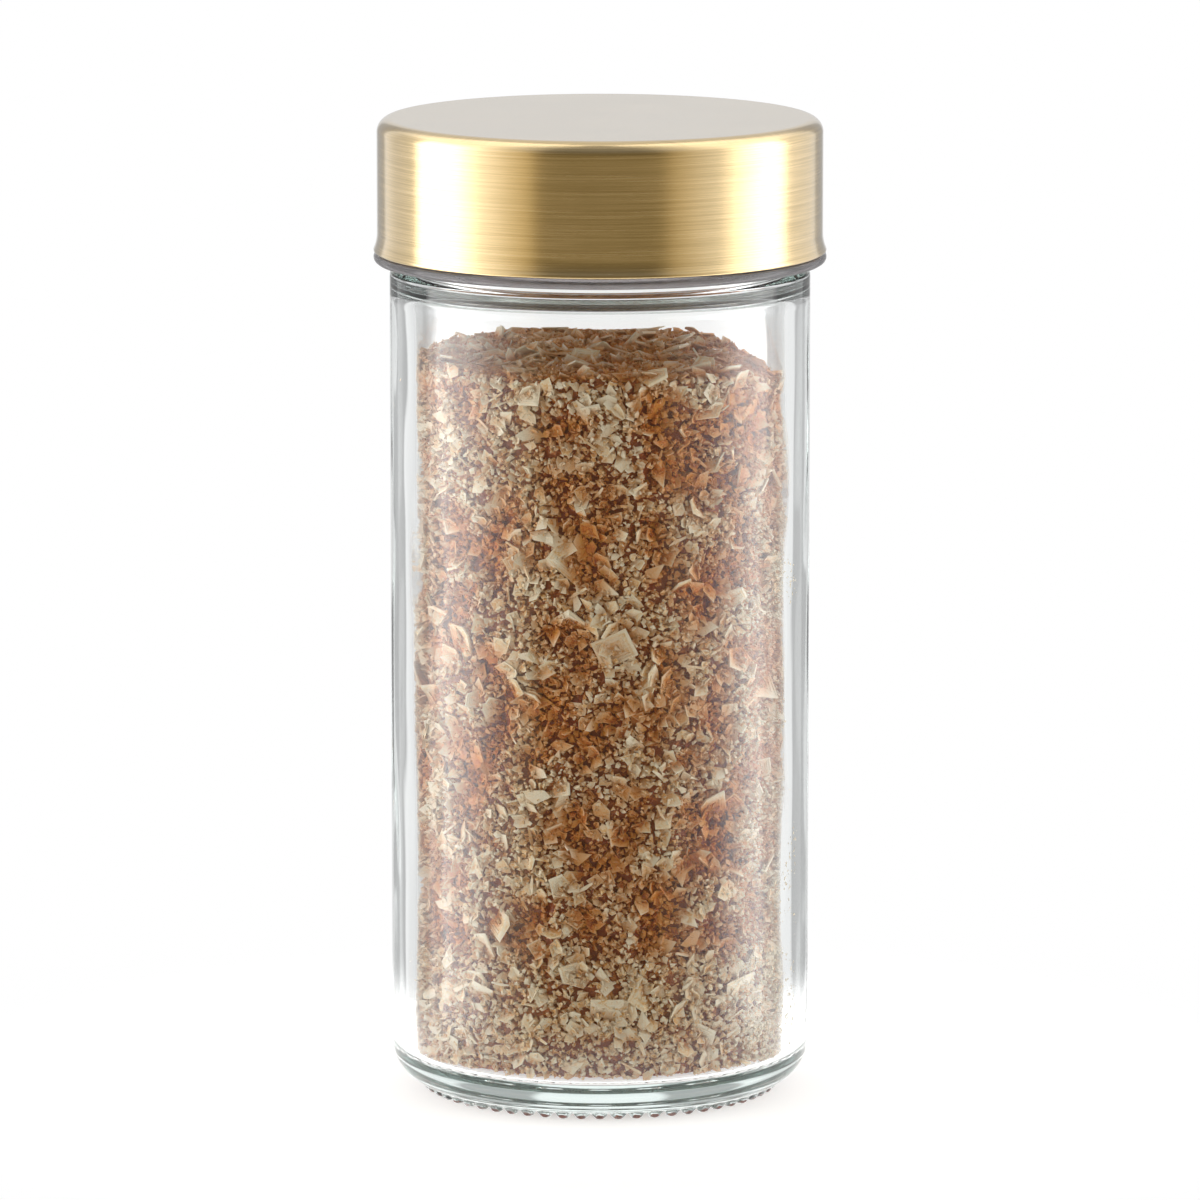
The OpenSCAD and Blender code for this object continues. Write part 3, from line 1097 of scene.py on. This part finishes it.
def bed_tool():
    tool = Tool("settle_bed", ["Shrink", "Roughness", "Grain"])
    size = tool.given
    place = tool.node("GeometryNodeInputPosition")["Position"]
    inputs = {"Vector": place, "Scale": 1.0 / size["Grain"]}
    cell = tool.node("ShaderNodeTexVoronoi", None, inputs)["Distance"]
    lump = 0.0 - size["Shrink"] - (cell - 0.5) * size["Roughness"]
    normal = tool.node("GeometryNodeInputNormal")["Normal"]
    inputs = {"Geometry": size["Mesh"], "Offset": tool.scaled(normal, lump)}
    tool.finish(tool.node("GeometryNodeSetPosition", None, inputs)[0])
    return tool


def salt_on_floor():
    """The frame's salt, and a disc that fills what is left down to the glass floor."""
    radius, low, high = cavity_r - salt_gap, floor_z + salt_gap, salt_low.z + 12 * MM
    edge = arc((radius - floor_round, low + floor_round), floor_round, -90, 0, 6)
    disc = turned("salt_disc", [(0.0, low), *edge, (radius, high), (0.0, high)], 96)
    merged = bmesh.new()
    merged.from_mesh(frame["nodes"]["salt_fill"].data)
    merged.from_mesh(disc.data)
    mesh = bpy.data.meshes.new("salt_on_floor")
    merged.to_mesh(mesh)
    merged.free()
    bpy.data.objects.remove(disc)
    return mesh


def remeshed_salt(name, cell):
    """The salt with even cells of that size."""
    piece = bpy.data.objects.new(name, salt_on_floor())
    bpy.context.scene.collection.objects.link(piece)
    remesh = piece.modifiers.new("even_cells", "REMESH")
    remesh.mode = "VOXEL"
    remesh.voxel_size = cell
    depsgraph = bpy.context.evaluated_depsgraph_get()
    mesh = bpy.data.meshes.new_from_object(piece.evaluated_get(depsgraph))
    piece.modifiers.clear()
    piece.data = mesh
    return piece


# %% [markdown]
# ## The salt's colours
# Every crystal has a tone of its own, from clear amber to pale beige, that the scattering
# tree writes as an attribute. Its broken rim is painted paler, a painted highlight along
# its edge. Each facet gets a random painted shade, as if it caught the light on its own.
# Fine parallel lines cross its face, and smoke has left orange specks. What lies deeper in
# the heap is painted darker and redder: painted shade for the crevices, and for the light
# that comes back from there through more salt. The top of the heap is painted lighter, as
# painted light from above.

# %% The salt material
def smoked_salt(name, shift, broken):
    material, graph = new_material(name)
    place = graph.node("ShaderNodeTexCoord")["Object"]
    tone = graph.node("ShaderNodeAttribute", {"attribute_name": "tone"})["Fac"]
    rim = graph.node("ShaderNodeAttribute", {"attribute_name": "rim"})["Fac"]
    facet = graph.node("ShaderNodeAttribute", {"attribute_name": "facet"})["Fac"]
    flat = graph.node("ShaderNodeUVMap", {"uv_map": "flat"})["UV"]
    fx, fy, fz = graph.split(flat)
    lines = graph.noise(graph.join(fx * 3, fy * 48, tone * 9), 1.0, 2.0)
    specks = graph.noise(place, 4200.0, 3.0, 0.7)
    clouds = graph.noise(place, 230.0, 3.0, 0.6)
    cells = graph.node("ShaderNodeTexVoronoi", None, {"Vector": place, "Scale": 1900.0})
    cell_tone = graph.split(cells["Color"])[0]
    spots = graph.noise(place, 1500.0, 2.0)
    x, y, z = graph.split(place)
    from_wall = cavity_r - graph.maths("SQRT", x * x + y * y)
    from_top = surface_z + 0.8 * MM - z
    # Painted shade: the salt is darker the deeper it lies from the glass wall or from the top of the
    # heap.
    painted_depth_shade = graph.smooth(graph.maths("MINIMUM", from_wall, from_top), 0.0, 1.25 * MM)
    mixed = 1.10 + (tone - 0.5) * 0.95 + (clouds - 0.5) * 0.55 + (specks - 0.5) * 1.3
    # The facet term adds painted shade: each face gets a random brightness.
    mixed = mixed + (cell_tone - 0.5) * broken + (spots - 0.5) * 0.6 + (facet - 0.5) * 0.55
    # The shift is a painted offset: below zero it paints the bed darker as painted shade, above zero
    # it paints the dust paler as painted light.
    mixed = mixed + (lines - 0.5) * 1.1 - painted_depth_shade * 0.40 + shift
    # Painted light: the top 14 mm of the heap is painted lighter, as if more light fell on it from
    # above.
    mixed = mixed + graph.smooth(z, surface_z - 14 * MM, surface_z) * 0.2
    stops = [
        (0.04, (0.40, 0.115, 0.010)),
        (0.20, (0.68, 0.305, 0.055)),
        (0.36, (0.88, 0.480, 0.170)),
        (0.52, (0.96, 0.645, 0.310)),
        (0.70, (1.00, 0.775, 0.495)),
        (1.00, (1.00, 0.890, 0.710)),
    ]
    colour = graph.ramp(mixed / 1.4, stops)
    # Painted highlight: the outer rim of each crystal is mixed towards pale cream.
    painted_rim_highlight = graph.smooth(rim, 0.72, 0.95)
    colour = graph.mix(colour, (1.00, 0.88, 0.69, 1), painted_rim_highlight * 0.5)
    # Painted shade: the deep parts are multiplied towards dark red.
    colour = graph.mix(colour, (0.84, 0.39, 0.070, 1), painted_depth_shade, "MULTIPLY")
    bump = graph.node(
        "ShaderNodeBump",
        None,
        {"Strength": 0.8, "Distance": 0.00013, "Height": lines * 0.5 + specks},
    )
    inputs = {
        "Base Color": colour,
        "Roughness": 0.06 + specks * 0.25,
        "IOR": 1.54,
        "Specular IOR Level": 0.5,
        "Normal": bump["Normal"],
    }
    solid = graph.node("ShaderNodeBsdfPrincipled", None, inputs)
    glow = graph.node("ShaderNodeBsdfTranslucent", None, {"Color": colour})
    both = graph.node("ShaderNodeMixShader", None, {0: 0.2, 1: solid["BSDF"], 2: glow["BSDF"]})
    finish_material(graph, both[0])
    return material


salt_finish = smoked_salt("smoked_salt", 0.0, 0.35)
flake_finish = smoked_salt("smoked_salt_flakes", 0.0, 0.2)
# The grains are real dust. Their 0.30 paler tone is painted light, for the grains on the right front
# wall that the side light catches strongly.
painted_lit_dust_finish = smoked_salt("smoked_salt_dust", 0.30, 0.2)
# The bed is painted 0.15 darker, as painted shade for the salt that lies under the flakes.
bed_finish = smoked_salt("smoked_salt_deep", -0.15, 0.8)
bed = remeshed_salt("salt_bed", 0.45 * MM)
bed_tool().run(bed, bed_finish, Shrink=0.75 * MM, Roughness=0.4 * MM, Grain=1.0 * MM)

# %% [markdown]
# ## Strewing the flakes
# The tree puts points on the bed's surface, sets a random crystal on each, and turns it
# at random. Flakes that would stick out through the glass are pressed flat against it, as
# real ones are: the closer a point comes to the wall, the more it is held back.

# %% The strewing tool
def strew_tool():
    names = ["Density", "Smallest", "Largest", "Skew", "Tilt", "Lift", "Least tone"]
    names += ["Wall radius", "Floor height", "Corner radius", "Give", "Side share"]
    tool = Tool("strew_flakes", names, whole=["Seed"], collections=["Crystals"])
    size = tool.given
    outward = tool.node("GeometryNodeInputNormal")["Normal"]
    out_x, out_y, out_z = tool.split(outward)
    on_top = tool.smooth(out_z, 0.4, 0.7)
    under = tool.smooth(0.0 - out_z, 0.4, 0.7)
    density = size["Density"] * (on_top + (1.0 - on_top) * size["Side share"]) * (1.0 - under)
    inputs = {"Mesh": size["Mesh"], "Density": density, "Seed": size["Seed"]}
    strewn = tool.node("GeometryNodeDistributePointsOnFaces", None, inputs)
    inputs = {
        "Geometry": strewn["Points"],
        "Offset": tool.scaled(strewn["Normal"], size["Lift"]),
    }
    lifted = tool.node("GeometryNodeSetPosition", None, inputs)[0]

    def chance(low, high, offset):
        seed = size["Seed"] + offset
        if isinstance(low, tuple):
            kind, first = "FLOAT_VECTOR", 0
        else:
            kind, first = "FLOAT", 2
        inputs = {first: low, first + 1: high, "Seed": seed}
        return tool.node("FunctionNodeRandomValue", {"data_type": kind}, inputs)[first // 2]

    leaning = tool.scaled(chance((-1.0,) * 3, (1.0,) * 3, 1), size["Tilt"])
    up = tool.vector("ADD", strewn["Normal"], leaning)
    turn = tool.node("FunctionNodeAlignRotationToVector", {"axis": "Z"}, {"Vector": up})
    share = chance(0.0, 1.0, 2) ** size["Skew"]
    scale = size["Smallest"] + (size["Largest"] - size["Smallest"]) * share
    picked = {"Collection": size["Crystals"], "Separate Children": True, "Reset Children": True}
    stock = tool.node("GeometryNodeCollectionInfo", None, picked)
    inputs = {
        "Points": lifted,
        "Instance": stock[0],
        "Pick Instance": True,
        "Rotation": turn["Rotation"],
        "Scale": scale,
    }
    laid = tool.node("GeometryNodeInstanceOnPoints", None, inputs)[0]
    spin = tool.join(0.0, 0.0, chance(0.0, 2 * math.pi, 3))
    inputs = {"Instances": laid, "Rotation": spin, "Local Space": True}
    laid = tool.node("GeometryNodeRotateInstances", None, inputs)[0]
    settings = {"data_type": "FLOAT", "domain": "INSTANCE"}
    inputs = {"Geometry": laid, "Name": "tone", "Value": chance(size["Least tone"], 1.0, 4)}
    laid = tool.node("GeometryNodeStoreNamedAttribute", settings, inputs)[0]
    real = tool.node("GeometryNodeRealizeInstances", None, {"Geometry": laid})[0]
    x, y, z, radius, angle = polar(tool)
    above = tool.maths("MAXIMUM", z, size["Floor height"])
    sunk = size["Floor height"] + size["Corner radius"] - above
    sunk = tool.maths("MAXIMUM", sunk, 0.0)
    corner = size["Corner radius"] * size["Corner radius"] - sunk * sunk
    corner = tool.maths("SQRT", tool.maths("MAXIMUM", corner, 0.0))
    limit = size["Wall radius"] - size["Corner radius"] + corner
    free = limit - size["Give"]
    over = tool.maths("MAXIMUM", radius - free, 0.0)
    held = tool.maths("EXPONENT", 0.0 - over / size["Give"])
    reach = tool.maths("MINIMUM", radius, free) + size["Give"] * (1.0 - held)
    shrink = reach / tool.maths("MAXIMUM", radius, 0.0001)
    tool.finish_real(moved(tool, real, x * shrink, y * shrink, above))
    return tool


# %% Strew grains, chips, needles and plates
strew = strew_tool()
salt_wall = {
    "Wall_radius": cavity_r - 0.01 * MM,
    "Floor_height": floor_z + 0.06 * MM,
    "Corner_radius": floor_round,
}


def only_where(mesh, keeps):
    """A copy of the mesh with only those faces whose middle the test keeps."""
    patch = bmesh.new()
    patch.from_mesh(mesh)
    others = [face for face in patch.faces if not keeps(face.calc_center_median())]
    bmesh.ops.delete(patch, geom=others, context="FACES")
    kept = bpy.data.meshes.new("patch")
    patch.to_mesh(kept)
    patch.free()
    return kept


def layer(name, crystals, finish, seed, density, sizes, lift, ground=None, **habit):
    """One layer of crystals on the bed, or on a patch of it. Density is crystals for each
    square centimetre."""
    piece = bpy.data.objects.new(name, (ground or bed.data).copy())
    bpy.context.scene.collection.objects.link(piece)
    strew.run(
        piece,
        finish,
        Crystals=crystals,
        Density=density * 10000.0,
        Smallest=sizes[0],
        Largest=sizes[1],
        Lift=lift,
        Seed=seed,
        **(salt_wall | habit),
    )
    return piece


loose = {"Skew": 1.5, "Tilt": 1.1, "Give": 0.05 * MM, "Side_share": 1.0, "Least_tone": 0.0}
lying = {"Skew": 1.6, "Tilt": 0.6, "Give": 0.06 * MM, "Side_share": 1.0, "Least_tone": 0.25}
strewn_on_top = lying | {"Tilt": 0.8, "Side_share": 0.0, "Least_tone": 0.3}
dust = loose | {"Give": 0.02 * MM, "Least_tone": 0.5, "Wall_radius": cavity_r + 0.04 * MM}
dusty_side = only_where(bed.data, lambda p: 14 * MM < p.x < 19.3 * MM and p.y < 0 and p.z < 70 * MM)
salt_pieces = [
    layer("salt_grains_1", grains, salt_finish, 11, 110.0, (0.45, 1.10), 0.05 * MM, **loose),
    layer("salt_grains_2", grains, salt_finish, 12, 110.0, (0.40, 1.05), 0.18 * MM, **loose),
    layer("salt_grains_3", grains, salt_finish, 13, 110.0, (0.36, 0.95), 0.32 * MM, **loose),
    layer("salt_grains_4", grains, salt_finish, 14, 110.0, (0.32, 0.85), 0.44 * MM, **loose),
    layer("salt_grains_5", grains, salt_finish, 15, 110.0, (0.28, 0.70), 0.56 * MM, **loose),
    layer("salt_chips_1", chips, flake_finish, 21, 42.0, (0.7, 1.9), 0.46 * MM, **lying),
    layer("salt_needles_1", needles, salt_finish, 25, 3.0, (1.4, 2.8), 0.55 * MM, **lying),
    layer("salt_plates_1", plates, flake_finish, 31, 2.0, (1.6, 3.6), 0.40 * MM, **lying),
    layer("salt_plates_2", plates, flake_finish, 32, 5.0, (1.4, 3.4), 0.7 * MM, **strewn_on_top),
    layer("salt_dust_1", grains, painted_lit_dust_finish, 41, 380.0, (0.2, 0.5), 0.77 * MM, dusty_side, **dust),
]
for piece in salt_pieces + [bed]:
    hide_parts("salt_fill")
    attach(piece, "jar")

# %% Put the crystal shelves away
for collection in (grains, chips, needles, plates):
    for spare in list(collection.objects):
        bpy.data.objects.remove(spare)
    bpy.data.collections.remove(collection)

# %% [markdown]
# ## The floor
# The jar stands on a small white table. Its top fades out before its edge, so that the
# white room behind goes on into it without a line, and the lid has a dark space in front
# of it to show.

# %% Make the floor
PAPER_GLOW = 0.3
MIRRORED_GLOW = 0.6


def white_table():
    material, graph = new_material("white_table")
    x, y, z = graph.split(graph.node("ShaderNodeTexCoord")["Object"])
    away = graph.maths("SQRT", x * x + y * y)
    gone = graph.smooth(away, 0.036, 0.08)
    path = graph.node("ShaderNodeLightPath")
    mirrored = (path["Is Glossy Ray"] + path["Is Transmission Ray"]).clamped()
    paper = {
        "Base Color": (0.97, 0.97, 0.97, 1),
        "Roughness": 0.6,
        "Specular IOR Level": 0.2,
        "Emission Color": (1, 1, 1, 1),
        "Emission Strength": path["Is Camera Ray"] * PAPER_GLOW + mirrored * MIRRORED_GLOW,
    }
    solid = graph.node("ShaderNodeBsdfPrincipled", None, paper)
    clear = graph.node("ShaderNodeBsdfTransparent")
    both = {0: gone, 1: solid["BSDF"], 2: clear["BSDF"]}
    finish_material(graph, graph.node("ShaderNodeMixShader", None, both)[0])
    return material


table_r = 0.115
table = turned("table", [(0.0, -0.002), (table_r, -0.002), (table_r, 0.0), (0.0, 0.0)], 128)
table.data.materials.append(white_table())
